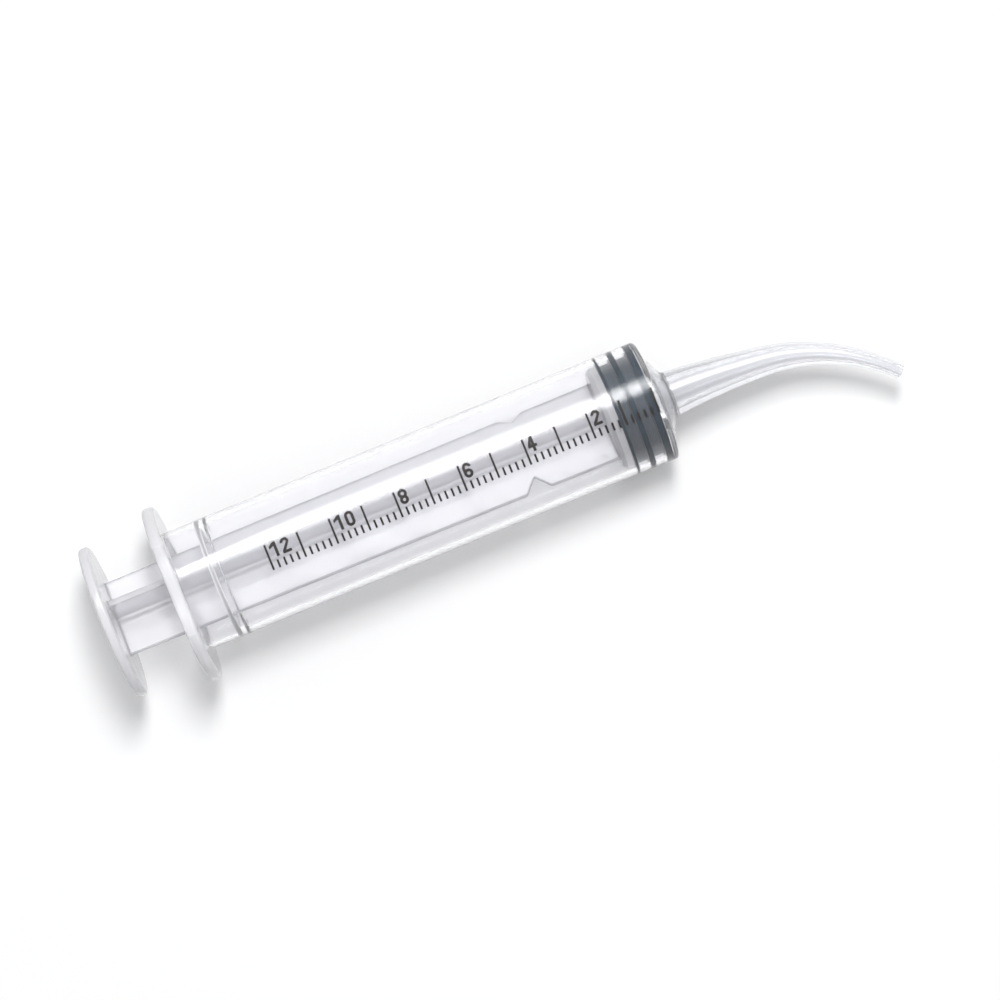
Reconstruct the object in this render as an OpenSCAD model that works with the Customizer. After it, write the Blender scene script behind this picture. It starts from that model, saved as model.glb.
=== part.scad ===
// Curved tip syringe of 12 ml: a clear barrel with a bent tapered tip, a plunger of four crossed ribs,
// a rubber stopper with three seal rings, and a printed volume scale.
// The origin is on the barrel's axis at the front face of the finger flange. The axis runs towards +X,
// tilted nose down by rest_tilt, because the syringe lies on the flat of its flange and on its front edge.
// The tip bends towards -Y.

/* [Barrel] */
// Outside diameter of the barrel
barrel_od = 18; // [16:0.1:21]
// Wall thickness of the barrel
barrel_wall = 0.95; // [0.8:0.05:1.5]
// Length from the flange's front face to the barrel's front edge
barrel_len = 72.8; // [70:0.1:90]
// Rounding of the barrel's front edge
front_edge_r = 0.6; // [0.2:0.05:0.8]
// Thickness of the wall across the barrel's front
front_wall = 0.75; // [0.6:0.05:1.2]

/* [Finger flange] */
// Diameter of the finger flange
flange_d = 26.6; // [25:0.1:32]
// Thickness of the finger flange
flange_t = 1.8; // [1.2:0.05:3]
// Distance across the two flats that stop the syringe from rolling
flange_flats = 23; // [22.5:0.1:24.4]
// Rounding of the flange's rim
flange_edge_r = 0.6; // [0.1:0.05:0.6]

/* [Mouth] */
// How much wider than the bore the mouth is, on the radius
mouth_relief = 0.25; // [0.1:0.05:0.4]
// Chamfer at the mouth's rear edge
mouth_chamfer = 0.4; // [0.1:0.05:0.8]
// Distance from the flange's front face to the retaining ring
ring_offset = 5; // [3:0.1:7]
// Width of the retaining ring's crest
ring_w = 0.95; // [0.5:0.05:1.5]
// Height of the retaining ring above the bore
ring_h = 0.3; // [0.1:0.05:0.5]

/* [Shoulder] */
// Width of the front rim, which slopes only a little
rim_w = 2.7; // [1.2:0.1:3]
// Rise of the front rim's slope
rim_rise = 0.4; // [0.2:0.05:0.7]
// Length from the barrel's front edge to the root of the tip
shoulder_len = 1.9; // [1.4:0.1:4]
// Fillet between shoulder and tip
root_fillet_r = 0.7; // [0.3:0.05:1]

/* [Tip] */
// Outside diameter of the tip at its root
tip_root_d = 6.7; // [5.5:0.1:8]
// Outside diameter of the tip at its outlet
tip_end_d = 2.15; // [1.6:0.05:3]
// Diameter of the tip's passage at its root
lumen_root_d = 3.4; // [2:0.1:4]
// Diameter of the tip's passage at its outlet
lumen_end_d = 1.1; // [0.6:0.05:1.3]
// How strongly the taper eases out towards the outlet
taper_power = 1.4; // [1:0.1:2]
// Straight length at the tip's root
tip_straight = 1; // [0.6:0.1:4]
// Length of the gentle bend that follows
gentle_len = 13.5; // [6:0.1:18]
// Angle through which the tip bends gently
gentle_angle = 6; // [1:0.5:12]
// Radius of the sharper bend in front of it, measured on the tip's centre line
bend_r = 28; // [20:0.25:60]
// Angle through which the tip bends altogether
bend_angle = 48; // [20:1:60]
// Rounding of the outlet's rim, where the wall is thick enough for it
outlet_edge_r = 0.475; // [0.1:0.025:0.8]

/* [Plunger] */
// How far the thumb disc's rim is set in from the flange's flats
thumb_set_in = 0.1; // [0.05:0.05:3]
// Thickness of the thumb disc
thumb_t = 1.5; // [1:0.05:3]
// Rounding of the thumb disc's rim
thumb_edge_r = 0.5; // [0.1:0.05:0.5]
// Gap between thumb disc and flange with the plunger pressed home
thumb_gap = 9; // [4:0.1:20]
// Clearance between the ribs' front ends and the retaining ring, on the radius
rib_gap = 1.4; // [0.3:0.05:2]
// How much nearer to the axis the ribs end at the thumb disc than at the head disc
rib_draft = 0.4; // [0:0.05:0.8]
// Thickness of each rib
rib_t = 1; // [0.7:0.05:1.6]
// Diameter of the core in which the ribs meet
core_d = 2.2; // [1.6:0.1:4]
// Roll of the first rib away from straight up
rib_roll = 22; // [0:1:45]
// Distance from the head disc back to the middle of the notches
notch_offset = 12.4; // [6:0.1:25]
// Length of the notches along the rod
notch_len = 3.8; // [2:0.1:6]
// Depth of the notches in three of the ribs
notch_depth = 1.1; // [0.4:0.1:2]
// Depth of the notch in the rib on the side that the tip bends to
deep_notch_depth = 2.2; // [0.6:0.1:3]
// Thickness of the head disc
head_t = 1.6; // [1:0.1:3]
// Clearance between head disc and bore, on the radius
head_gap = 0.2; // [0.1:0.05:0.5]
// Chamfer at the head disc's rear edge
head_chamfer = 0.6; // [0.1:0.05:0.8]

/* [Stopper mounting] */
// Diameter of the neck behind the knob
neck_d = 4.8; // [3:0.1:6]
// Length of the neck
neck_len = 1.2; // [0.8:0.1:2]
// Diameter of the knob that holds the stopper
knob_d = 7.6; // [6.5:0.1:9]
// Length of the knob
knob_len = 1.8; // [1:0.1:2.4]
// Clearance between knob and socket
socket_gap = 0.05; // [0.02:0.01:0.1]

/* [Stopper] */
// Length of the stopper over its three seal rings
stopper_len = 5.7; // [5:0.1:9]
// Width of the rear seal ring
rear_seal_w = 0.45; // [0.3:0.05:1]
// Width of the middle seal ring
middle_seal_w = 0.9; // [0.3:0.05:1.2]
// Width of the front seal ring
front_seal_w = 1.1; // [0.3:0.05:1.5]
// Depth of the grooves between the seal rings
groove_depth = 0.5; // [0.2:0.05:0.8]
// Running clearance between seal rings and bore, on the radius
seal_gap = 0.04; // [0.02:0.01:0.08]
// Height of the stopper's nose in front of its front ring
nose_h = 1.2; // [0.8:0.1:1.4]
// Clearance between stopper and barrel front with the plunger pressed home
nose_gap = 0.1; // [0.05:0.05:0.4]

/* [Scale] */
// Graduations in each millilitre
ticks_per_ml = 5; // [1, 2, 5, 10]
// Millilitres from one numeral to the next
numeral_step = 2; // [2, 4]
// Thickness of the ink
ink_t = 0.03; // [0.02:0.01:0.05]
// Width of a graduation line
tick_w = 0.3; // [0.15:0.05:0.4]
// Length of the lines at whole millilitres
long_tick = 3.8; // [3.4:0.1:5]
// Length of the lines in between
short_tick = 1.2; // [0.6:0.1:1.6]
// Height of the numerals
numeral_h = 2.2; // [1.4:0.1:2.4]
// Stroke of the numerals
numeral_stroke = 0.42; // [0.2:0.02:0.46]
// Gap between a long line and its numeral
numeral_gap = 0.35; // [0.2:0.05:0.6]
// Turn of the scale's middle away from the top, towards the side that the tip bends to
scale_turn = 3; // [-30:1:30]

/* [Hidden] */
$fn = 96;
eps = 0.01;
// How far a cutting shape reaches past what it cuts
reach_past = 1;

clear_plastic = [0.86, 0.88, 0.92, 0.45];
frosted_plastic = [0.84, 0.84, 0.90, 0.8];
grey_rubber = [0.24, 0.28, 0.32];
dark_ink = [0.17, 0.14, 0.13];

barrel_r = barrel_od / 2;
bore_r = barrel_r - barrel_wall;
ring_r = bore_r - ring_h;
rim_r = barrel_r - rim_w;
rim_bore_r = rim_r - front_wall / 4;
rib_r_front = ring_r - rib_gap;
rib_r_rear = rib_r_front - rib_draft;
thumb_d = flange_flats - 2 * thumb_set_in;
rest_tilt = atan2(flange_flats / 2 - barrel_r, barrel_len - front_edge_r);

// Stations along the axis, from the rear to the front
flange_rear_x = -flange_t;
thumb_front_x = flange_rear_x - thumb_gap;
ring_front_x = ring_offset + ring_w + ring_h;
bore_end_x = barrel_len - front_wall;
seal_front_x = bore_end_x - nose_gap;
stopper_rear_x = seal_front_x - stopper_len;
head_front_x = stopper_rear_x - socket_gap;
head_rear_x = head_front_x - head_t;
tip_root_x = barrel_len + shoulder_len;

// How far back the plunger can be drawn until the chamfer of its head disc meets the retaining ring's front
// slope, the travel for one millilitre, and the whole millilitres that fit in
head_stops = head_gap < ring_h;
last_x = head_stops ? head_rear_x + head_chamfer + head_gap : stopper_rear_x;
full_travel = last_x - ring_front_x;
mm_per_ml = 1000 / (PI * bore_r * bore_r);
capacity_ml = floor(full_travel / mm_per_ml);

// The tip's gentle bend ends at bend_start, which is measured from the tip's root like every place on the tip
gentle_r = gentle_len / gentle_angle * 180 / PI;
bend_start = tip_straight + gentle_len;
tip_len = bend_start + bend_r * (bend_angle - gentle_angle) * PI / 180;
tip_sides = 32;
straight_steps = 2;
bend_steps = 20;
outlet_steps = 4;
// The bends have flat-sided rings. Their first ring lies inside the round end of the straight length, clear of
// its edge by bend_seam, and bend_lap behind it.
bend_seam = 0.03;
bend_lap = 0.2;

// Flat ring left between the passage and the rounding of the outlet's rim, and that rounding
outlet_land = 0.05;
outlet_r = min(outlet_edge_r, (tip_end_d - lumen_end_d) / 2 - outlet_land);

// Radius of a tapering round section at a distance s from the tip's root
function taper_r(root_d, end_d, s) =
    (end_d + (root_d - end_d) * pow(max(0, 1 - s / tip_len), taper_power)) / 2;

function outer_r(s) = taper_r(tip_root_d, tip_end_d, s);
function lumen_r(s) = taper_r(lumen_root_d, lumen_end_d, s);

// Direction of the tip's centre line at a distance s from its root, as an angle away from the axis
function gentle_heading(s) = max(0, min(s, bend_start) - tip_straight) / gentle_r * 180 / PI;
function heading(s) = gentle_heading(s) + max(0, s - bend_start) / bend_r * 180 / PI;

// Centre of the tip at a distance s from its root
function centre(s) =
    let (g = gentle_heading(s), h = heading(s))
        [
            tip_root_x + min(s, tip_straight) + gentle_r * sin(g) + bend_r * (sin(h) - sin(g)),
            -gentle_r * (1 - cos(g)) - bend_r * (cos(g) - cos(h)),
            0
        ];

// Stations [s, radius] at the start of the bends, for a section whose radius there is r
function lapped(r) = [
    [tip_straight - bend_lap, r - bend_seam],
    [tip_straight, r - bend_seam]
];

// One ring of points round the centre line, for a station [s, radius]
function ring_points(station) = [
    for (side = [0 : tip_sides - 1])
        let (turn = 360 * side / tip_sides, r = station[1], h = heading(station[0]))
            centre(station[0]) + r * [cos(turn) * sin(h), cos(turn) * cos(h), sin(turn)]
];

// Closed tube surface through a list of stations along the bend
module swept(stations) {
    last = len(stations) - 1;
    n = tip_sides;
    points = [for (station = stations) each ring_points(station)];
    walls = [
        for (i = [0 : last - 1], j = [0 : n - 1])
            let (a = i * n + j, b = i * n + (j + 1) % n)
                each [[a, a + n, b + n], [a, b + n, b]]
    ];
    rear = [for (j = [0 : n - 1]) j];
    front = [for (j = [n - 1 : -1 : 0]) last * n + j];
    polyhedron(points, concat(walls, [rear], [front]), convexity = 4);
}

// Turns an outline about the syringe's axis. The outline's x is the radius, its y the place along the axis.
module turned() {
    rotate([0, 90, 0])
        rotate_extrude()
            children();
}

// Lays the whole syringe down on its flange and front edge
module at_rest() {
    rotate([0, rest_tilt, 0])
        children();
}

// Disc with a rounded rim, as an outline to be turned
module disc_outline(r, x0, x1, edge) {
    square_r = r - edge;
    translate([0, x0])
        square([square_r, x1 - x0]);
    translate([0, x0 + edge])
        square([r, x1 - x0 - 2 * edge]);
    for (x = [x0 + edge, x1 - edge])
        translate([square_r, x])
            circle(edge, $fn = 32);
}

module flange() {
    intersection() {
        turned()
            disc_outline(flange_d / 2, flange_rear_x, 0, flange_edge_r);
        translate([flange_rear_x - reach_past, -flange_d, -flange_flats / 2])
            cube([flange_t + 2 * reach_past, 2 * flange_d, flange_flats]);
    }
}

// Outside of the barrel from the flange to the end of the tip's straight root
module barrel_outline() {
    fillet_steps = 5;
    fillet_turn = 60;
    translate([0, flange_rear_x + flange_edge_r])
        square([barrel_r, barrel_len - front_edge_r - flange_rear_x - flange_edge_r]);
    translate([0, barrel_len - 2 * front_edge_r])
        square([barrel_r - front_edge_r, 2 * front_edge_r]);
    translate([barrel_r - front_edge_r, barrel_len - front_edge_r])
        circle(front_edge_r, $fn = 32);
    polygon([
        [0, barrel_len - front_edge_r],
        [barrel_r - front_edge_r, barrel_len - front_edge_r],
        [barrel_r - front_edge_r, barrel_len],
        [rim_r, barrel_len + rim_rise],
        for (i = [fillet_steps : -1 : 0])
            let (turn = fillet_turn * i / fillet_steps)
                [
                    tip_root_d / 2 + root_fillet_r * (1 - cos(turn)),
                    tip_root_x - root_fillet_r * sin(turn)
                ],
        for (i = [1 : straight_steps])
            let (s = tip_straight * i / straight_steps)
                [outer_r(s), tip_root_x + s],
        [0, tip_root_x + tip_straight]
    ]);
}

// Inside of the barrel: mouth, retaining ring, bore, shoulder and the passage in the tip's straight root
module bore_outline() {
    mouth_r = bore_r + mouth_relief;
    polygon([
        [0, flange_rear_x - reach_past],
        [mouth_r + mouth_chamfer, flange_rear_x - reach_past],
        [mouth_r + mouth_chamfer, flange_rear_x],
        [mouth_r, flange_rear_x + mouth_chamfer],
        [mouth_r, ring_offset - ring_h],
        [ring_r, ring_offset],
        [ring_r, ring_front_x - ring_h],
        [bore_r, ring_front_x],
        [bore_r, bore_end_x],
        [rim_bore_r, bore_end_x + rim_rise],
        [lumen_root_d / 2, tip_root_x],
        for (i = [1 : straight_steps])
            let (s = tip_straight * i / straight_steps)
                [lumen_r(s), tip_root_x + s],
        [0, tip_root_x + tip_straight]
    ]);
}

// One moulding: tube, flange, shoulder and curved tip
module barrel() {
    bend_len = tip_len - tip_straight;
    outer = [
        each lapped(outer_r(tip_straight)),
        for (i = [1 : bend_steps - 1])
            let (s = tip_straight + (bend_len - outlet_r) * i / bend_steps)
                [s, outer_r(s)],
        for (i = [0 : outlet_steps])
            let (turn = 90 * i / outlet_steps)
                [
                    tip_len - outlet_r * (1 - sin(turn)),
                    tip_end_d / 2 - outlet_r * (1 - cos(turn))
                ]
    ];
    lumen = [
        each lapped(lumen_r(tip_straight)),
        for (i = [1 : bend_steps + 1])
            let (s = tip_straight + bend_len * i / bend_steps)
                [s, lumen_r(s)]
    ];
    color(clear_plastic)
        at_rest()
            difference() {
                union() {
                    flange();
                    turned()
                        barrel_outline();
                    swept(outer);
                }
                turned()
                    bore_outline();
                swept(lumen);
            }
}

// One rib of the rod, standing up from the axis, with its notch
module rib(depth) {
    rod_len = head_rear_x - thumb_front_x;
    notch_x = rod_len - notch_offset;
    draft = (rib_r_front - rib_r_rear) / rod_len;
    function reach(x) = rib_r_rear + draft * x;
    translate([thumb_front_x, 0, 0])
        rotate([90, 0, 0])
            linear_extrude(rib_t, center = true)
                polygon([
                    [-thumb_t / 2, 0],
                    [-thumb_t / 2, rib_r_rear],
                    [0, rib_r_rear],
                    [notch_x - notch_len / 2, reach(notch_x - notch_len / 2)],
                    [notch_x, reach(notch_x) - depth],
                    [notch_x + notch_len / 2, reach(notch_x + notch_len / 2)],
                    [rod_len, rib_r_front],
                    [rod_len + head_t / 2, rib_r_front],
                    [rod_len + head_t / 2, 0]
                ]);
}

// Head disc, neck and knob, which carry the stopper
module head_outline() {
    head_r = bore_r - head_gap;
    knob_rear_x = head_front_x + neck_len;
    polygon([
        [0, head_rear_x],
        [head_r - head_chamfer, head_rear_x],
        [head_r, head_rear_x + head_chamfer],
        [head_r, head_front_x],
        [neck_d / 2, head_front_x],
        [neck_d / 2, knob_rear_x],
        [knob_d / 2, knob_rear_x],
        [knob_d / 2, knob_rear_x + knob_len / 2],
        [neck_d / 2, knob_rear_x + knob_len],
        [0, knob_rear_x + knob_len]
    ]);
}

// One moulding: thumb disc, four crossed ribs, head disc and knob
module plunger() {
    depths = [notch_depth, notch_depth, notch_depth, deep_notch_depth];
    color(frosted_plastic)
        at_rest()
            union() {
                turned()
                    disc_outline(thumb_d / 2, thumb_front_x - thumb_t, thumb_front_x, thumb_edge_r);
                turned()
                    translate([0, thumb_front_x - thumb_t / 2])
                        square([core_d / 2, head_rear_x - thumb_front_x + thumb_t]);
                for (i = [0 : 3])
                    rotate([-rib_roll - 90 * i, 0, 0])
                        rib(depths[i]);
                turned()
                    head_outline();
            }
}

// Rubber stopper, snapped over the knob
module stopper() {
    seal_r = bore_r - seal_gap;
    groove_r = seal_r - groove_depth;
    groove_w = (stopper_len - rear_seal_w - middle_seal_w - front_seal_w) / 2;
    middle_x = stopper_rear_x + rear_seal_w + groove_w;
    front_x = seal_front_x - front_seal_w;
    lip_front_x = head_front_x + neck_len - socket_gap;
    knob_front_x = head_front_x + neck_len + knob_len + socket_gap;
    color(grey_rubber)
        at_rest()
            turned()
                polygon([
                    [neck_d / 2 + socket_gap, stopper_rear_x],
                    [seal_r, stopper_rear_x],
                    [seal_r, stopper_rear_x + rear_seal_w],
                    [groove_r, stopper_rear_x + rear_seal_w],
                    [groove_r, middle_x],
                    [seal_r, middle_x],
                    [seal_r, middle_x + middle_seal_w],
                    [groove_r, middle_x + middle_seal_w],
                    [groove_r, front_x],
                    [seal_r, front_x],
                    [seal_r, seal_front_x],
                    [rim_bore_r, seal_front_x + rim_rise],
                    [lumen_root_d / 2, seal_front_x + nose_h],
                    [0, seal_front_x + nose_h],
                    [0, knob_front_x],
                    [neck_d / 2 + socket_gap, knob_front_x],
                    [knob_d / 2 + socket_gap, knob_front_x - knob_len / 2],
                    [knob_d / 2 + socket_gap, lip_front_x],
                    [neck_d / 2 + socket_gap, lip_front_x]
                ]);
}

// Flat numeral strokes, each numeral standing on the x axis in a cell numeral_w wide
numeral_w = 0.6 * numeral_h;

module bar(x, y, w, h) {
    translate([x, y])
        square([w, h]);
}

module loop(x, y, r) {
    translate([x, y])
        difference() {
            circle(r, $fn = 48);
            circle(r - numeral_stroke, $fn = 48);
        }
}

// Part of a loop that lies inside a box
module arc(x, y, r, box_x, box_y, box_w, box_h) {
    intersection() {
        loop(x, y, r);
        bar(box_x, box_y, box_w, box_h);
    }
}

module numeral_0() {
    r = numeral_w / 2;
    arc(r, numeral_h - r, r, 0, numeral_h - r, numeral_w, r);
    arc(r, r, r, 0, 0, numeral_w, r);
    for (x = [0, numeral_w - numeral_stroke])
        bar(x, r - eps, numeral_stroke, numeral_h - 2 * r + 2 * eps);
}

module numeral_1() {
    x = numeral_w / 2;
    bar(x, 0, numeral_stroke, numeral_h);
    polygon([
        [x + eps, numeral_h],
        [x + eps, numeral_h - 1.4 * numeral_stroke],
        [0, numeral_h - 2.2 * numeral_stroke],
        [0, numeral_h - 1.2 * numeral_stroke]
    ]);
}

module numeral_2() {
    r = numeral_w / 2;
    arc(r, numeral_h - r, r, 0, numeral_h - r, numeral_w, r);
    bar(0, 0, numeral_w, numeral_stroke);
    polygon([
        [0, numeral_stroke - eps],
        [1.3 * numeral_stroke, numeral_stroke - eps],
        [numeral_w, numeral_h - r + eps],
        [numeral_w - numeral_stroke, numeral_h - r + eps]
    ]);
}

module numeral_4() {
    arm_y = 0.28 * numeral_h;
    stem_x = numeral_w - 1.8 * numeral_stroke;
    bar(stem_x, 0, numeral_stroke, numeral_h);
    bar(0, arm_y, numeral_w, numeral_stroke);
    polygon([
        [0, arm_y + numeral_stroke - eps],
        [1.2 * numeral_stroke, arm_y + numeral_stroke - eps],
        [stem_x + eps, numeral_h - 1.2 * numeral_stroke],
        [stem_x + eps, numeral_h]
    ]);
}

module numeral_6() {
    r = numeral_w / 2;
    loop(r, r, r);
    bar(0, r, numeral_stroke, numeral_h - 2 * r + eps);
    arc(r, numeral_h - r, r, 0, numeral_h - r, numeral_w, r);
}

module numeral_8() {
    low_r = 0.29 * numeral_h;
    top_r = (numeral_h + numeral_stroke) / 2 - low_r;
    loop(numeral_w / 2, low_r, low_r);
    loop(numeral_w / 2, numeral_h - top_r, top_r);
}

module numeral(digit) {
    if (digit == 0) numeral_0();
    if (digit == 1) numeral_1();
    if (digit == 2) numeral_2();
    if (digit == 4) numeral_4();
    if (digit == 6) numeral_6();
    if (digit == 8) numeral_8();
}

// Number with its lower left corner at the origin
module number(value) {
    advance = numeral_w + 0.8 * numeral_stroke;
    if (value >= 10) {
        numeral(floor(value / 10));
        translate([advance, 0])
            numeral(value % 10);
    } else {
        numeral(value);
    }
}

// One graduation line across the barrel, from the scale's lower edge upwards
module tick(x, length) {
    degrees_per_mm = 180 / (PI * barrel_r);
    low_turn = scale_turn + long_tick / 2 * degrees_per_mm;
    translate([x - tick_w / 2, 0, 0])
        rotate([low_turn, 0, 0])
            rotate([0, 90, 0])
                rotate([0, 0, 180 - length * degrees_per_mm])
                    rotate_extrude(angle = length * degrees_per_mm)
                        translate([barrel_r, 0])
                            square([ink_t, tick_w]);
}

// Ink on the outside of the barrel: a line for each graduation, and numerals beside some of the long lines
module volume_scale() {
    color(dark_ink)
        at_rest() {
            for (i = [0 : capacity_ml * ticks_per_ml])
                tick(
                    seal_front_x - i / ticks_per_ml * mm_per_ml,
                    i % ticks_per_ml == 0 ? long_tick : short_tick
                );
            intersection() {
                difference() {
                    turned()
                        square([barrel_r + ink_t, bore_end_x]);
                    turned()
                        translate([0, -reach_past])
                            square([barrel_r, bore_end_x + 2 * reach_past]);
                }
                rotate([scale_turn, 0, 0])
                    for (ml = [numeral_step : numeral_step : capacity_ml])
                        translate([
                            seal_front_x - ml * mm_per_ml + tick_w / 2 + numeral_gap,
                            long_tick / 2 - numeral_h,
                            0
                        ])
                            linear_extrude(barrel_od)
                                number(ml);
            }
        }
}

barrel();
plunger();
stopper();
volume_scale();
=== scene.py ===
import math

import bpy
from mathutils import Matrix, Vector
from mathutils.geometry import tessellate_polygon


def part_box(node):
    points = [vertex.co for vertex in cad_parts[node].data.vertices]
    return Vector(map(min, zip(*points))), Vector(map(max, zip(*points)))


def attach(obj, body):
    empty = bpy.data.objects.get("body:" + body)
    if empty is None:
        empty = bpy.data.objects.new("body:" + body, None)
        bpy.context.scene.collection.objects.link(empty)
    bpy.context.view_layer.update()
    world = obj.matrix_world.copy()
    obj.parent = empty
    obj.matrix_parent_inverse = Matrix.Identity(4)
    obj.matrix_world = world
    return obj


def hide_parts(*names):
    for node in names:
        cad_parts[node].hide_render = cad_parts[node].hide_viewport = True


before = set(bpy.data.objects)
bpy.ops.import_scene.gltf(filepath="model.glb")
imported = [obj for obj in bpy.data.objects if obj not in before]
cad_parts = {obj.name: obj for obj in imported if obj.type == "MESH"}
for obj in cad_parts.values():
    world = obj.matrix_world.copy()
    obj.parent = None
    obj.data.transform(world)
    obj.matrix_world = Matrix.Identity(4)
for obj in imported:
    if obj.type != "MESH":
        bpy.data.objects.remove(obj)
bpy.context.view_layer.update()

MM = 0.001

# Barrel
BARREL_R = 9.0
BORE_R = 8.05
BARREL_LEN = 72.8
FRONT_EDGE_R = 0.6
FRONT_WALL = 0.75
FLANGE_R = 13.3
FLANGE_T = 1.8
FLANGE_FLAT = 11.5
FLANGE_EDGE_R = 0.6
MOUTH_R = BORE_R + 0.25
MOUTH_CHAMFER = 0.4
RING_X = 5.0
RING_W = 0.95
RING_H = 0.3
RIM_R = 6.3
RIM_RISE = 0.4
RIM_BORE_R = RIM_R - FRONT_WALL / 4
FRONT_X = BARREL_LEN - FRONT_EDGE_R

# Tip
TIP_ROOT_X = BARREL_LEN + 1.9
ROOT_FILLET_R = 0.7
TIP_ROOT_R = 3.35
TIP_END_R = 1.075
LUMEN_ROOT_R = 1.7
LUMEN_END_R = 0.55
TAPER_POWER = 1.4
TIP_STRAIGHT = 1.0
GENTLE_LEN = 13.5
GENTLE_TURN = math.radians(6)
GENTLE_R = GENTLE_LEN / GENTLE_TURN
WHOLE_TURN = math.radians(48)
BEND_R = 28.0
TIP_LEN = TIP_STRAIGHT + GENTLE_LEN + BEND_R * (WHOLE_TURN - GENTLE_TURN)
OUTLET_EDGE_R = 0.475

# Plunger
THUMB_R = 11.4
THUMB_T = 1.5
THUMB_EDGE_R = 0.5
THUMB_FRONT_X = -10.8
RIB_T = 1.0
RIB_REACH_REAR = 5.95
RIB_REACH_FRONT = 6.35
RIB_ROLL = math.radians(22)
RIB_EDGE_R = 0.2
CORE_FILLET_R = 0.95
ROD_FILLET_R = 0.3
NOTCH_X = 52.2
NOTCH_HALF = 1.9
NOTCH_DEPTHS = (1.1, 1.1, 1.1, 2.2)
HEAD_R = BORE_R - 0.2
HEAD_REAR_X = 64.6
HEAD_FRONT_X = 66.2
HEAD_CHAMFER = 0.6
NECK_R = 2.4
NECK_FRONT_X = HEAD_FRONT_X + 1.2
KNOB_R = 3.8
KNOB_LEN = 1.8

# Stopper
STOPPER_REAR_X = 66.25
SEAL_FRONT_X = 71.95
SEAL_PRESS = 0.02
SEAL_R = BORE_R + SEAL_PRESS
GROOVE_R = BORE_R - 0.54
NOSE_X = SEAL_FRONT_X + 1.2
SOCKET_GAP = 0.05

# Sides of the round meshes, and the numbers of the materials on barrel and plunger
SIDES = 192
CLEAR, HAZY, FROSTED = 0, 1, 2
MILKY = 0

# The syringe lies on the flange's lower flat and on the barrel's front edge.
REST_TILT = math.atan2(FLANGE_FLAT - BARREL_R, FRONT_X)
LIE_DOWN = Matrix.Rotation(REST_TILT, 4, "Y") @ Matrix.Scale(MM, 4)


class Skin:
    """A closed smooth surface, collected as rings of (place, normal) pairs and the faces between them.
    finish is the number of the material that the next faces get."""

    def __init__(self):
        self.places, self.normals, self.faces, self.finishes = [], [], [], []
        self.finish = 0

    def add(self, face):
        self.faces.append(face)
        self.finishes.append(self.finish)

    def ring(self, points):
        first = len(self.places)
        for place, normal in points:
            self.places.append(place)
            self.normals.append(normal.normalized())
        return list(range(first, len(self.places)))

    def join(self, a, b):
        """Quads between two rings of as many points, the second one further along the outline."""
        for i in range(len(a)):
            j = (i + 1) % len(a)
            self.add((a[i], b[i], b[j], a[j]))

    def join_all(self, rings, closed=False):
        for a, b in zip(rings, rings[1:]):
            self.join(a, b)
        if closed:
            self.join(rings[-1], rings[0])

    def cap(self, ring, x, facing):
        """Fan from a ring to a point on the axis. facing is 1 towards the tip and -1 towards the rear."""
        (middle,) = self.ring([(Vector((x, 0, 0)), Vector((facing, 0, 0)))])
        for i in range(len(ring)):
            pair = (ring[i], ring[(i + 1) % len(ring)])
            self.add((*(pair if facing < 0 else reversed(pair)), middle))

    def fill(self, outer, inner, facing):
        """Flat face between a ring and a smaller one inside it."""
        both = outer + inner
        flat = [[Vector((self.places[i].y, self.places[i].z, 0)) for i in ring] for ring in (outer, inner)]
        for corners in tessellate_polygon(flat):
            face = [both[k] for k in corners]
            a, b, c = (self.places[k] for k in face)
            if (b - a).cross(c - a).x * facing < 0:
                face.reverse()
            self.add(face)

    def piece(self, name):
        mesh = bpy.data.meshes.new(name)
        mesh.from_pydata([LIE_DOWN @ p for p in self.places], [], self.faces)
        mesh.shade_smooth()
        mesh.polygons.foreach_set("material_index", self.finishes)
        turn = LIE_DOWN.to_3x3().normalized()
        mesh.normals_split_custom_set_from_vertices([turn @ n for n in self.normals])
        obj = bpy.data.objects.new(name, mesh)
        bpy.context.scene.collection.objects.link(obj)
        return obj


def rounded(corners, closed=False, most_turn=math.radians(11)):
    """Points (x, y) and normals (nx, ny) along an outline of corners (x, y, fillet radius), each corner
    rounded off. The outline runs clockwise round its material. A corner with no fillet gets the mean of
    its two normals."""
    count = len(corners)
    made = []
    for i, (x, y, radius) in enumerate(corners):
        if not closed and i in (0, count - 1):
            other = corners[1] if i == 0 else corners[-2]
            along = Vector((other[0] - x, other[1] - y)).normalized() * (1 if i == 0 else -1)
            made.append((Vector((x, y)), Vector((-along.y, along.x))))
            continue
        here = Vector((x, y))
        before = (here - Vector(corners[i - 1][:2])).normalized()
        after = (Vector(corners[(i + 1) % count][:2]) - here).normalized()
        normal_before, normal_after = Vector((-before.y, before.x)), Vector((-after.y, after.x))
        turn = math.atan2(before.x * after.y - before.y * after.x, before.dot(after))
        if radius == 0:
            made.append((here, (normal_before + normal_after).normalized()))
            continue
        bulge = -1 if turn > 0 else 1
        start = here - before * radius * math.tan(abs(turn) / 2)
        centre = start - bulge * radius * normal_before
        steps = max(2, math.ceil(abs(turn) / most_turn))
        for k in range(steps + 1):
            angle = turn * k / steps
            normal = Vector((
                normal_before.x * math.cos(angle) - normal_before.y * math.sin(angle),
                normal_before.x * math.sin(angle) + normal_before.y * math.cos(angle),
            ))
            made.append((centre + bulge * radius * normal, normal))
    return made


def across(angle):
    """Direction across the axis, at an angle from straight up towards +Y."""
    return Vector((0, math.sin(angle), math.cos(angle)))


def circle_ring(station):
    """Ring round the axis for one point of an outline whose x is along the axis and y the radius."""
    (x, r), (nx, nr) = station
    ring = []
    for i in range(SIDES):
        out = across(2 * math.pi * i / SIDES)
        ring.append((Vector((x, 0, 0)) + r * out, Vector((nx, 0, 0)) + nr * out))
    return ring


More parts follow.
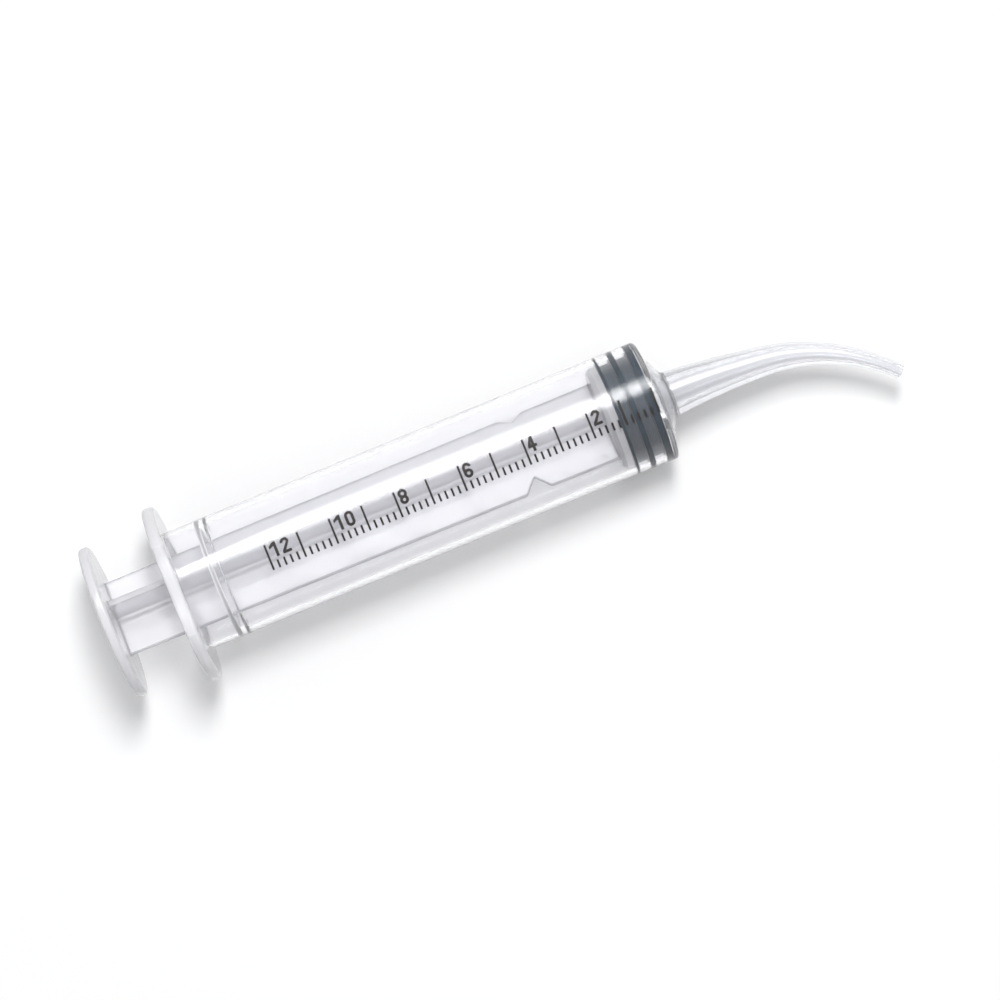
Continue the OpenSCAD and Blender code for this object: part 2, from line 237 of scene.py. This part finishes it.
def flange_ring(station):
    """Ring round the axis, cut off by the flange's two flats."""
    (x, r), (nx, nr) = station
    flat = FLANGE_FLAT - (FLANGE_R - r)
    corner = math.acos(flat / r)
    step = 2 * math.pi / SIDES
    corner_gap = 0.15 * step
    ring = []
    for i in range(SIDES):
        angle = step * i
        for at in (corner, math.pi - corner, math.pi + corner, 2 * math.pi - corner):
            if abs(angle - at) < step:
                angle = at + math.copysign(corner_gap, angle - at)
        on_flat = abs(math.cos(angle)) > flat / r
        reach = flat / abs(math.cos(angle)) if on_flat else r
        out = Vector((0, 0, math.copysign(1, math.cos(angle)))) if on_flat else across(angle)
        ring.append((Vector((x, 0, 0)) + reach * across(angle), Vector((nx, 0, 0)) + nr * out))
    return ring


def bent_ring(station):
    """Ring round the tip's centre line, which bends in a gentle and then a sharper arc towards -Y."""
    (x, r), (nx, nr) = station
    bent = max(0, x - TIP_ROOT_X - TIP_STRAIGHT)
    gentle = min(bent, GENTLE_LEN) / GENTLE_R
    bend = gentle + max(0, bent - GENTLE_LEN) / BEND_R
    middle = Vector((x - bent, 0, 0))
    middle += GENTLE_R * Vector((math.sin(gentle), math.cos(gentle) - 1, 0))
    middle += BEND_R * Vector((math.sin(bend) - math.sin(gentle), math.cos(bend) - math.cos(gentle), 0))
    ahead = Vector((math.cos(bend), -math.sin(bend), 0))
    sideways = Vector((math.sin(bend), math.cos(bend), 0))
    curving = 0 if bent == 0 else 1 / GENTLE_R if bent < GENTLE_LEN else 1 / BEND_R
    ring = []
    for i in range(SIDES):
        angle = 2 * math.pi * i / SIDES
        out = math.cos(angle) * Vector((0, 0, 1)) + math.sin(angle) * sideways
        stretch = 1 + r * math.sin(angle) * curving
        ring.append((middle + r * out, nx * ahead + nr * stretch * out))
    return ring


def taper(root_r, end_r, s):
    return end_r + (root_r - end_r) * max(0, 1 - s / TIP_LEN) ** TAPER_POWER


def barrel_piece():
    """One moulding: tube, flange, retaining ring, shoulder and hollow curved tip. The flange and the
    ring's rear slope are hazy, and everything from the front edge on is frosted."""
    tip_steps = 120
    inner_edge = 0.05
    flange_root = 0.1
    rim_edge = 0.3
    lumen_root = 0.15
    bore_root = 0.2
    ring_edge = 0.4
    outlet_len = 0.8
    outlet_edge = 0.03
    bore_end_x = BARREL_LEN - FRONT_WALL
    front_slope = RIM_RISE / (BARREL_R - FRONT_EDGE_R - RIM_R)
    steps = [(TIP_LEN - outlet_len) * i / tip_steps for i in range(1, tip_steps + 1)]
    ring_front_x = RING_X + RING_W + RING_H
    ring_rear_x = RING_X - RING_H
    outline = rounded([
        (0, FLANGE_R, FLANGE_EDGE_R),
        (0, BARREL_R, flange_root),
        (BARREL_LEN - FRONT_EDGE_R * front_slope, BARREL_R, FRONT_EDGE_R),
        (BARREL_LEN + RIM_RISE, RIM_R, rim_edge),
        (TIP_ROOT_X, TIP_ROOT_R, ROOT_FILLET_R),
        *[(TIP_ROOT_X + s, taper(TIP_ROOT_R, TIP_END_R, s), 0) for s in steps],
        (TIP_ROOT_X + TIP_LEN, TIP_END_R, OUTLET_EDGE_R),
        (TIP_ROOT_X + TIP_LEN, LUMEN_END_R, outlet_edge),
        *[(TIP_ROOT_X + s, taper(LUMEN_ROOT_R, LUMEN_END_R, s), 0) for s in reversed(steps)],
        (TIP_ROOT_X, LUMEN_ROOT_R, lumen_root),
        (bore_end_x + RIM_RISE, RIM_BORE_R, rim_edge),
        (bore_end_x, BORE_R, bore_root),
        (ring_front_x, BORE_R, ring_edge),
        (ring_front_x - RING_H, BORE_R - RING_H, ring_edge),
        (RING_X, BORE_R - RING_H, ring_edge),
        (ring_rear_x, MOUTH_R, ring_edge),
        (MOUTH_CHAMFER - FLANGE_T, MOUTH_R, inner_edge),
        (-FLANGE_T, MOUTH_R + MOUTH_CHAMFER, inner_edge),
        (-FLANGE_T, FLANGE_R, FLANGE_EDGE_R),
    ], closed=True)
    skin = Skin()
    rings = []
    for station in outline:
        (x, r), _ = station
        on_flange = r > BARREL_R + 1
        behind_ring = r < MOUTH_R + 0.01 and ring_rear_x - 0.3 < x < RING_X + 0.1
        rings.append(skin.ring(flange_ring(station) if on_flange else bent_ring(station)))
        skin.finish = HAZY if on_flange or behind_ring else FROSTED if x > FRONT_X else CLEAR
        if len(rings) > 1:
            skin.join(rings[-2], rings[-1])
    skin.join(rings[-1], rings[0])
    return skin.piece("clear_barrel")


def rib_reach(x, depth):
    """Reach of a rib from the axis at x, with its V notch, whose edges are slightly rounded."""
    softness = 0.07
    share = (x - THUMB_FRONT_X) / (HEAD_REAR_X - THUMB_FRONT_X)
    away = math.hypot((x - NOTCH_X) / NOTCH_HALF, softness)
    into = (1 - away + math.hypot(1 - away, softness)) / 2
    return RIB_REACH_REAR + (RIB_REACH_FRONT - RIB_REACH_REAR) * share - depth * into


def rod_ring(x, tilt=0.0, facing=0):
    """Ring round the four crossed ribs. tilt is the angle reached in the fillet to the disc that facing
    looks from."""
    grow = ROD_FILLET_R * (1 - math.cos(tilt))
    step = 0.01
    ring = []
    for i, depth in enumerate(NOTCH_DEPTHS):
        reach = rib_reach(x, depth) + grow
        slope = (rib_reach(x + step, depth) - rib_reach(x - step, depth)) / (2 * step)
        half = RIB_T / 2 + grow
        along, side = across(RIB_ROLL + i * math.pi / 2), across(RIB_ROLL + (i + 1) * math.pi / 2)
        corners = rounded([
            (-half, 0, 0),
            (-half, reach, RIB_EDGE_R + grow),
            (half, reach, RIB_EDGE_R + grow),
            (half, 0, 0),
        ], most_turn=math.radians(23))[1:-1]
        fillet = rounded([
            (half, reach, 0),
            (half, half, CORE_FILLET_R - grow),
            (reach, half, 0),
        ], most_turn=math.radians(18))[1:-1]
        for (across_rib, up), (n_across, n_up) in corners + fillet:
            out = n_across * side + n_up * along
            lean = -slope * n_up if up > reach / 2 and not facing else 0
            normal = out * math.cos(tilt) + Vector((facing * math.sin(tilt) + lean, 0, 0))
            ring.append((Vector((x, 0, 0)) + across_rib * side + up * along, normal))
    return ring


def plunger_piece():
    """One moulding: thumb disc, four crossed ribs with V notches, head disc, neck and knob. The thumb
    disc is hazy, and the rest is milky."""
    skin = Skin()
    edge = 0.05
    thumb = rounded([
        (THUMB_FRONT_X - THUMB_T, 0, 0),
        (THUMB_FRONT_X - THUMB_T, THUMB_R, THUMB_EDGE_R),
        (THUMB_FRONT_X, THUMB_R, THUMB_EDGE_R),
        (THUMB_FRONT_X, 0, 0),
    ])[1:-1]
    skin.finish = HAZY
    thumb_rings = [skin.ring(circle_ring(station)) for station in thumb]
    skin.join_all(thumb_rings)
    skin.cap(thumb_rings[0], THUMB_FRONT_X - THUMB_T, -1)

    fillet_tilts = [math.radians(90 - 22.5 * k) for k in range(5)]
    notch_count = 24
    notch_len = NOTCH_HALF * 1.3
    notch_steps = [NOTCH_X + notch_len * k / notch_count for k in range(-notch_count, notch_count + 1)]
    plain_count = 6
    plain_len = NOTCH_X - 3 - THUMB_FRONT_X
    plain_steps = [THUMB_FRONT_X + plain_len * k / plain_count for k in range(1, plain_count)]
    rod = [rod_ring(THUMB_FRONT_X + ROD_FILLET_R * (1 - math.sin(a)), a, 1) for a in fillet_tilts]
    rod += [rod_ring(x) for x in plain_steps + notch_steps]
    rod += [rod_ring(HEAD_REAR_X - ROD_FILLET_R * (1 - math.sin(a)), a, -1) for a in reversed(fillet_tilts)]
    rod_rings = [skin.ring(points) for points in rod]
    skin.fill(thumb_rings[-1], rod_rings[0], 1)
    skin.finish = MILKY
    skin.join_all(rod_rings)

    head = rounded([
        (HEAD_REAR_X, 0, 0),
        (HEAD_REAR_X, HEAD_R - HEAD_CHAMFER, edge),
        (HEAD_REAR_X + HEAD_CHAMFER, HEAD_R, edge),
        (HEAD_FRONT_X, HEAD_R, edge),
        (HEAD_FRONT_X, NECK_R, edge),
        (NECK_FRONT_X, NECK_R, edge),
        (NECK_FRONT_X, KNOB_R, edge),
        (NECK_FRONT_X + KNOB_LEN / 2, KNOB_R, edge),
        (NECK_FRONT_X + KNOB_LEN, NECK_R, edge),
        (NECK_FRONT_X + KNOB_LEN, 0, 0),
    ])[1:-1]
    head_rings = [skin.ring(circle_ring(station)) for station in head]
    skin.join_all(head_rings)
    skin.cap(head_rings[-1], NECK_FRONT_X + KNOB_LEN, 1)
    skin.fill(head_rings[0], rod_rings[-1], -1)
    return skin.piece("ribbed_plunger")


def stopper_piece():
    """Rubber stopper with three seal rings, a low nose and the socket that grips the plunger's knob. The
    rings are pressed into the bore's surface, so no air shows between rubber and wall."""
    rear_w, middle_w, front_w = 0.45, 0.9, 1.1
    groove_w = (SEAL_FRONT_X - STOPPER_REAR_X - rear_w - middle_w - front_w) / 2
    middle_x = STOPPER_REAR_X + rear_w + groove_w
    front_x = SEAL_FRONT_X - front_w
    edge = 0.1
    root = 0.2
    lip_r = NECK_R + SOCKET_GAP
    socket_r = KNOB_R + SOCKET_GAP
    lip_x = NECK_FRONT_X - SOCKET_GAP
    socket_x = NECK_FRONT_X + KNOB_LEN + SOCKET_GAP
    outline = rounded([
        (socket_x, 0, 0),
        (socket_x, lip_r, edge),
        (socket_x - KNOB_LEN / 2, socket_r, edge),
        (lip_x, socket_r, edge),
        (lip_x, lip_r, edge),
        (STOPPER_REAR_X, lip_r, edge),
        (STOPPER_REAR_X, SEAL_R, edge),
        (STOPPER_REAR_X + rear_w, SEAL_R, edge),
        (STOPPER_REAR_X + rear_w, GROOVE_R, root),
        (middle_x, GROOVE_R, root),
        (middle_x, SEAL_R, edge),
        (middle_x + middle_w, SEAL_R, edge),
        (middle_x + middle_w, GROOVE_R, root),
        (front_x, GROOVE_R, root),
        (front_x, SEAL_R, edge),
        (SEAL_FRONT_X, SEAL_R, edge),
        (SEAL_FRONT_X + RIM_RISE, RIM_BORE_R, root),
        (NOSE_X, LUMEN_ROOT_R, root),
        (NOSE_X, 0, 0),
    ])[1:-1]
    skin = Skin()
    rings = [skin.ring(circle_ring(station)) for station in outline]
    skin.join_all(rings)
    skin.cap(rings[0], socket_x, -1)
    skin.cap(rings[-1], NOSE_X, 1)
    return skin.piece("rubber_stopper")


# Materials: the range that noise mostly stays in, the plastic's refraction, and the slants, from 0 to 1,
# at which a surface counts as met head on and as grazed.
NOISE_LOW, NOISE_HIGH = 0.3, 0.7
PLASTIC_IOR = 1.49
HEAD_ON, GRAZED = 0.06, 0.65


def new_material(name):
    material = bpy.data.materials.new(name)
    material.use_nodes = True
    nodes, links = material.node_tree.nodes, material.node_tree.links
    return material, nodes, links, nodes["Principled BSDF"], nodes["Material Output"]


def noise(nodes, links, scale, detail=3.0, stretch=(1, 1, 1)):
    """Noise over the object's own coordinates, in metres. scale is in waves a metre."""
    place = nodes.new("ShaderNodeTexCoord")
    mapping = nodes.new("ShaderNodeMapping")
    mapping.inputs["Scale"].default_value = stretch
    texture = nodes.new("ShaderNodeTexNoise")
    texture.inputs["Scale"].default_value = scale
    texture.inputs["Detail"].default_value = detail
    links.new(place.outputs["Object"], mapping.inputs["Vector"])
    links.new(mapping.outputs["Vector"], texture.inputs["Vector"])
    return texture.outputs["Fac"]


def spread(nodes, links, value, low, high):
    """A value from noise, mapped to low to high."""
    to_range = nodes.new("ShaderNodeMapRange")
    to_range.inputs["From Min"].default_value = NOISE_LOW
    to_range.inputs["From Max"].default_value = NOISE_HIGH
    to_range.inputs["To Min"].default_value = low
    to_range.inputs["To Max"].default_value = high
    links.new(value, to_range.inputs["Value"])
    return to_range.outputs["Result"]


def two_tones(nodes, links, value, first, second):
    ramp = nodes.new("ShaderNodeValToRGB")
    ramp.color_ramp.elements[0].position = NOISE_LOW
    ramp.color_ramp.elements[0].color = (*first, 1)
    ramp.color_ramp.elements[1].position = NOISE_HIGH
    ramp.color_ramp.elements[1].color = (*second, 1)
    links.new(value, ramp.inputs["Fac"])
    return ramp.outputs["Color"]


def bump(nodes, links, height, distance, strength):
    node = nodes.new("ShaderNodeBump")
    node.inputs["Distance"].default_value = distance
    node.inputs["Strength"].default_value = strength
    links.new(height, node.inputs["Height"])
    return node.outputs["Normal"]


def clear_plastic(name, tones, clearness, roughness, shade, wave):
    """Moulded polypropylene. clearness is the share of light that it bends and doesn't scatter, and
    roughness a low and a high value. shade is what one of its surfaces lets through of lamp light that
    meets it head on, and of lamp light that grazes it, most of which is turned away. wave is the height
    of its unevenness."""
    material, nodes, links, shader, output = new_material(name)
    flow = noise(nodes, links, 90, stretch=(0.35, 1, 1))
    links.new(two_tones(nodes, links, flow, *tones), shader.inputs["Base Color"])
    links.new(spread(nodes, links, noise(nodes, links, 400), *roughness), shader.inputs["Roughness"])
    links.new(bump(nodes, links, flow, wave, 1), shader.inputs["Normal"])
    shader.inputs["Transmission Weight"].default_value = clearness
    shader.inputs["IOR"].default_value = PLASTIC_IOR
    lamp_light = nodes.new("ShaderNodeBsdfTransparent")
    slant = nodes.new("ShaderNodeLayerWeight")
    slant.inputs["Blend"].default_value = 0.5
    let_through = nodes.new("ShaderNodeValToRGB")
    for element, position, share in zip(let_through.color_ramp.elements, (HEAD_ON, GRAZED), shade):
        element.position = position
        element.color = (share, share, share, 1)
    links.new(slant.outputs["Facing"], let_through.inputs["Fac"])
    links.new(let_through.outputs["Color"], lamp_light.inputs["Color"])
    rays = nodes.new("ShaderNodeLightPath")
    mix = nodes.new("ShaderNodeMixShader")
    links.new(rays.outputs["Is Shadow Ray"], mix.inputs["Fac"])
    links.new(shader.outputs["BSDF"], mix.inputs[1])
    links.new(lamp_light.outputs["BSDF"], mix.inputs[2])
    links.new(mix.outputs["Shader"], output.inputs["Surface"])
    return material


def rubber():
    material, nodes, links, shader, _ = new_material("grey_rubber")
    patches = noise(nodes, links, 500)
    links.new(two_tones(nodes, links, patches, (0.014, 0.030, 0.048), (0.020, 0.038, 0.060)),
              shader.inputs["Base Color"])
    links.new(spread(nodes, links, noise(nodes, links, 1500), 0.38, 0.55), shader.inputs["Roughness"])
    links.new(bump(nodes, links, noise(nodes, links, 4000), 0.00001, 0.6), shader.inputs["Normal"])
    shader.inputs["Specular IOR Level"].default_value = 0.2
    return material


def ink():
    material, nodes, links, shader, _ = new_material("black_ink")
    grain = noise(nodes, links, 6000)
    links.new(two_tones(nodes, links, grain, (0.012, 0.009, 0.008), (0.020, 0.016, 0.014)),
              shader.inputs["Base Color"])
    links.new(spread(nodes, links, grain, 0.45, 0.7), shader.inputs["Roughness"])
    links.new(bump(nodes, links, grain, 0.000004, 0.5), shader.inputs["Normal"])
    return material


def math_node(nodes, links, operation, first, second):
    """Result of a sum over two values, each a number or a socket. It is kept between 0 and 1."""
    node = nodes.new("ShaderNodeMath")
    node.operation = operation
    node.use_clamp = True
    for value, socket in zip((first, second), node.inputs):
        if isinstance(value, (int, float)):
            socket.default_value = value
        else:
            links.new(value, socket)
    return node.outputs[0]


def seen(nodes, links):
    """1 for what a camera, a reflection or a view through plastic meets, and 0 for what only lights a
    surface."""
    rays = nodes.new("ShaderNodeLightPath").outputs
    mirrored = math_node(nodes, links, "ADD", rays["Is Glossy Ray"], rays["Is Transmission Ray"])
    met = math_node(nodes, links, "ADD", mirrored, rays["Is Camera Ray"])
    unscattered = math_node(nodes, links, "LESS_THAN", rays["Diffuse Depth"], 0.5)
    return math_node(nodes, links, "MULTIPLY", met, unscattered)


def white_table():
    """White surface that keeps shadows. What is seen of it is lifted to white by a little light of its
    own. Where it is seen through plastic that light is stronger: painted light in place of the lamp
    light that the plastic gathers there. Further away it fades into the white room."""
    material, nodes, links, shader, output = new_material("white_table")
    shader.inputs["Base Color"].default_value = (*[TABLE_WHITE] * 3, 1)
    shader.inputs["Roughness"].default_value = 0.9
    shader.inputs["Specular IOR Level"].default_value = 0.0
    glow = nodes.new("ShaderNodeEmission")
    through = nodes.new("ShaderNodeLightPath").outputs["Is Transmission Ray"]
    # painted light: the table glows more where it is seen through plastic, in place of lamp light that the
    # plastic focuses there
    more = math_node(nodes, links, "MULTIPLY", through, TABLE_LIFT_AND_PAINTED_GLOW_THROUGH - TABLE_LIFT)
    lift = math_node(nodes, links, "ADD", more, TABLE_LIFT)
    links.new(math_node(nodes, links, "MULTIPLY", seen(nodes, links), lift), glow.inputs["Strength"])
    both = nodes.new("ShaderNodeAddShader")
    links.new(shader.outputs["BSDF"], both.inputs[0])
    links.new(glow.outputs["Emission"], both.inputs[1])
    far_white = nodes.new("ShaderNodeEmission")
    links.new(seen(nodes, links), far_white.inputs["Strength"])
    place = nodes.new("ShaderNodeTexCoord")
    distance = nodes.new("ShaderNodeVectorMath")
    distance.operation = "DISTANCE"
    links.new(place.outputs["Object"], distance.inputs[0])
    distance.inputs[1].default_value = OBJECT_MIDDLE
    fade = nodes.new("ShaderNodeMapRange")
    fade.interpolation_type = "SMOOTHSTEP"
    fade.inputs["From Min"].default_value = FADE_FROM
    fade.inputs["From Max"].default_value = FADE_TO
    links.new(distance.outputs["Value"], fade.inputs["Value"])
    mix = nodes.new("ShaderNodeMixShader")
    links.new(fade.outputs["Result"], mix.inputs["Fac"])
    links.new(both.outputs["Shader"], mix.inputs[1])
    links.new(far_white.outputs["Emission"], mix.inputs[2])
    links.new(mix.outputs["Shader"], output.inputs["Surface"])
    return material


def table_piece():
    """Large flat table at the height on which the syringe lies."""
    low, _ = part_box("barrel")
    size = 3.0
    mesh = bpy.data.meshes.new("table")
    corners = [(-size, -size), (size, -size), (size, size), (-size, size)]
    mesh.from_pydata([(x, y, low.z) for x, y in corners], [], [(0, 1, 2, 3)])
    obj = bpy.data.objects.new("table", mesh)
    bpy.context.scene.collection.objects.link(obj)
    obj.data.materials.append(white_table())


# Light: levels at which the bare table comes out white, and the distances in metres from the middle of
# the syringe between which the table fades into the white room.
TABLE_WHITE = 0.80
TABLE_LIFT = 0.17
# the level seen through plastic holds the white lift plus painted light for lamp light that the plastic
# gathers
TABLE_LIFT_AND_PAINTED_GLOW_THROUGH = 0.27
AIR_LIGHT = 0.50
ROOM_LOW = 0.75
ROOM_HIGH = 0.58
FADE_FROM, FADE_TO = 0.075, 0.115
OBJECT_MIDDLE = Vector((0.045, 0, 0))

# The picture: the camera looks almost straight down, turned so that the barrel rises to the right. Its
# focal length is in pixels of a picture that is PICTURE_PX wide.
CAMERA_AT = Vector((0.0532, -0.0296, 0.5081))
CAMERA_AIM = Vector((0.0463, -0.0044, -0.0115))
PICTURE_TURN = math.radians(22.3)
FOCAL_PX = 3548
PICTURE_PX = 1000
picture_up = Vector((math.sin(PICTURE_TURN), math.cos(PICTURE_TURN), 0))
picture_right = Vector((math.cos(PICTURE_TURN), -math.sin(PICTURE_TURN), 0))


def looking(place, aim, up):
    """Matrix of a camera or lamp at a place, facing aim, with its own Y axis as near to up as can be."""
    back = (place - aim).normalized()
    right = up.cross(back).normalized()
    over = back.cross(right)
    turn = Matrix((right, over, back)).transposed()
    return Matrix.Translation(place) @ turn.to_4x4()


def camera():
    data = bpy.data.cameras.new("camera")
    data.sensor_width = 36
    data.lens = data.sensor_width * FOCAL_PX / PICTURE_PX
    data.clip_start = 0.01
    obj = bpy.data.objects.new("camera", data)
    bpy.context.scene.collection.objects.link(obj)
    obj.matrix_world = looking(CAMERA_AT, CAMERA_AIM, picture_up)
    bpy.context.scene.camera = obj


def lamp(name, off_vertical, distance, width, height, power, shift=0.0):
    """Area lamp leaning from straight above the object towards the picture's top."""
    data = bpy.data.lights.new(name, "AREA")
    data.shape = "RECTANGLE"
    data.size = width
    data.size_y = height
    data.energy = power
    obj = bpy.data.objects.new(name, data)
    bpy.context.scene.collection.objects.link(obj)
    lean = math.radians(off_vertical)
    middle = OBJECT_MIDDLE + shift * picture_right
    place = middle + distance * (math.sin(lean) * picture_up + math.cos(lean) * Vector((0, 0, 1)))
    obj.matrix_world = looking(place, middle, (place - middle).normalized().cross(picture_right))
    return obj


def mirrored_only(obj):
    """Turns a lamp into a softbox that fades towards its long edges, and keeps it out of the light that
    plastic bends onto dull surfaces."""
    obj.data.use_nodes = True
    nodes, links = obj.data.node_tree.nodes, obj.data.node_tree.links
    split = nodes.new("ShaderNodeSeparateXYZ")
    links.new(nodes.new("ShaderNodeNewGeometry").outputs["Parametric"], split.inputs["Vector"])
    profile = nodes.new("ShaderNodeValToRGB")
    profile.color_ramp.interpolation = "EASE"
    profile.color_ramp.elements[0].position = 0.0
    profile.color_ramp.elements[0].color = (0, 0, 0, 1)
    profile.color_ramp.elements[1].position = 0.5
    profile.color_ramp.elements[1].color = (1, 1, 1, 1)
    far_edge = profile.color_ramp.elements.new(1.0)
    far_edge.color = (0, 0, 0, 1)
    links.new(split.outputs["Y"], profile.inputs["Fac"])
    rays = nodes.new("ShaderNodeLightPath").outputs
    unscattered = math_node(nodes, links, "LESS_THAN", rays["Diffuse Depth"], 0.5)
    strength = math_node(nodes, links, "MULTIPLY", profile.outputs["Color"], unscattered)
    links.new(strength, nodes["Emission"].inputs["Strength"])


def studio_air():
    """World light: soft and plain on surfaces. A mirrored or bent view meets a room that is greyer at the
    horizon than overhead, and the camera meets plain white."""
    world = bpy.data.worlds.new("studio")
    bpy.context.scene.world = world
    world.use_nodes = True
    nodes, links = world.node_tree.nodes, world.node_tree.links
    air = nodes["Background"]
    air.inputs["Color"].default_value = (0.97, 0.98, 1, 1)
    direction = nodes.new("ShaderNodeTexCoord")
    split = nodes.new("ShaderNodeSeparateXYZ")
    links.new(direction.outputs["Generated"], split.inputs["Vector"])
    room = nodes.new("ShaderNodeMapRange")
    room.inputs["To Min"].default_value = ROOM_LOW
    room.inputs["To Max"].default_value = ROOM_HIGH
    links.new(split.outputs["Z"], room.inputs["Value"])
    met = math_node(nodes, links, "MULTIPLY", seen(nodes, links), room.outputs["Result"])
    lit = math_node(nodes, links, "MAXIMUM", met, AIR_LIGHT)
    to_camera = nodes.new("ShaderNodeLightPath").outputs["Is Camera Ray"]
    links.new(math_node(nodes, links, "MAXIMUM", lit, to_camera), air.inputs["Strength"])


def dress(piece, materials, body, node):
    for material in materials:
        piece.data.materials.append(material)
    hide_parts(node)
    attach(piece, body)


clear = clear_plastic(
    "clear_plastic",
    tones=((0.970, 0.970, 0.990), (0.985, 0.985, 1.0)),
    clearness=0.97,
    roughness=(0.04, 0.075),
    shade=(0.985, 0.50),
    wave=0.000006,
)
hazy = clear_plastic(
    "hazy_plastic",
    tones=((0.955, 0.950, 0.980), (0.975, 0.970, 0.990)),
    clearness=0.32,
    roughness=(0.10, 0.16),
    shade=(0.30, 0.20),
    wave=0.00001,
)
frosted = clear_plastic(
    "frosted_plastic",
    tones=((0.920, 0.925, 0.955), (0.945, 0.948, 0.970)),
    clearness=0.86,
    roughness=(0.04, 0.07),
    shade=(0.45, 0.30),
    wave=0.00001,
)
milky = clear_plastic(
    "milky_plastic",
    tones=((0.965, 0.960, 0.990), (0.985, 0.980, 1.0)),
    clearness=0.62,
    roughness=(0.12, 0.20),
    shade=(0.74, 0.52),
    wave=0.00001,
)
dress(barrel_piece(), [clear, hazy, frosted], "barrel", "barrel")
dress(plunger_piece(), [milky, hazy], "plunger", "plunger")
dress(stopper_piece(), [rubber()], "stopper", "stopper")
scale_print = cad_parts["volume_scale"]
scale_print.data.materials.clear()
scale_print.data.materials.append(ink())

table_piece()
studio_air()
key = lamp("key", off_vertical=19.5, distance=0.65, width=0.13, height=0.23, power=3.0, shift=0.04)
key.visible_glossy = False
key.visible_transmission = False
strip = lamp("strip", off_vertical=32.5, distance=0.6, width=0.45, height=0.42, power=6.5)
strip.visible_diffuse = False
mirrored_only(strip)
camera()

scene = bpy.context.scene
scene.view_settings.view_transform = "Standard"
scene.cycles.max_bounces = 24
scene.cycles.transmission_bounces = 24
scene.cycles.transparent_max_bounces = 24
